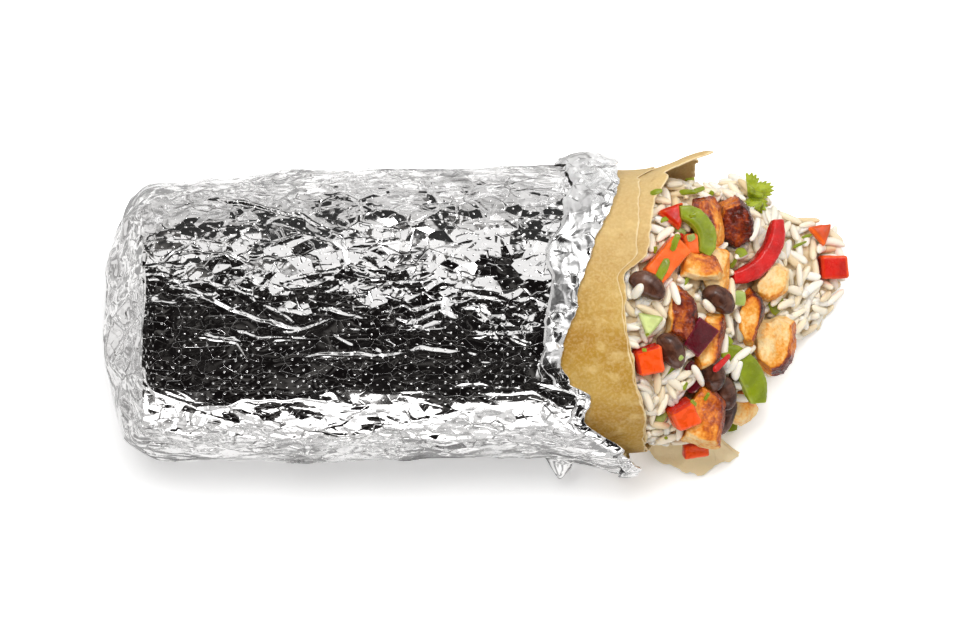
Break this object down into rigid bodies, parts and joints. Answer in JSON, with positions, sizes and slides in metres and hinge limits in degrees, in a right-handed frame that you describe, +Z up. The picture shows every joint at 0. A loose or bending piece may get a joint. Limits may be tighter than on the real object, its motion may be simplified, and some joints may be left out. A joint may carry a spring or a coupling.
{
  "type": "foil-wrapped burrito",
  "caption": "Burrito lying on its side in torn, crumpled foil, its open end spilling rice, grilled chicken, beans and peppers.",
  "frame": {"origin": "on the table, under the middle of the bounding box", "axes": "+X from the closed end towards the open end along the length; +Z up from the table; +Y across"},
  "size_m": [0.2102, 0.0932, 0.0721],
  "materials": {
    "foil": "crumpled shiny foil with a fine embossed dot pattern",
    "tortilla": "soft flour tortilla, matte, browned in patches",
    "rice": "cooked long-grain rice, slightly moist",
    "chicken": "grilled chicken, pale inside and charred on the outside",
    "bean": "cooked black bean, glossy skin",
    "tomato": "diced tomato and orange pepper, moist",
    "red_pepper": "red pepper strip, glossy",
    "green_pepper": "green pepper and chilli, glossy skin",
    "red_onion": "red onion, moist"
  },
  "bodies": {
    "root": {"foil_wrap": "foil", "tortilla": "tortilla", "rice_bed": "rice", "chicken_seared_corner": "chicken", "chicken_charred_cube": "chicken", "chicken_golden_slice": "chicken", "chicken_pale_slab": "chicken", "chicken_dark_strip": "chicken", "chicken_pale_chip": "chicken", "chicken_crusted_strip": "chicken", "chicken_round_chunk": "chicken", "chicken_ribbed_strip": "chicken", "chicken_long_chunk": "chicken", "chicken_torn_chip": "chicken", "bean_by_the_lap": "bean", "bean_in_the_middle": "bean", "bean_on_the_rice": "bean", "bean_under_pepper": "bean", "bean_half_hidden": "bean", "bean_beside_it": "bean", "bean_low": "bean", "tomato_cube_by_the_edge": "tomato", "tomato_cube_on_rice": "tomato", "tomato_long_piece": "tomato", "tomato_under_pepper": "tomato", "tomato_on_the_flap": "tomato", "tomato_cube_in_the_spill": "tomato", "tomato_wedge": "tomato", "tomato_sliver_in_the_spill": "tomato", "red_pepper_strip": "red_pepper", "green_pepper_upper": "green_pepper", "green_pepper_lower": "green_pepper", "green_chilli_slice": "green_pepper", "red_onion_layer": "red_onion"}
  },
  "joints": []
}
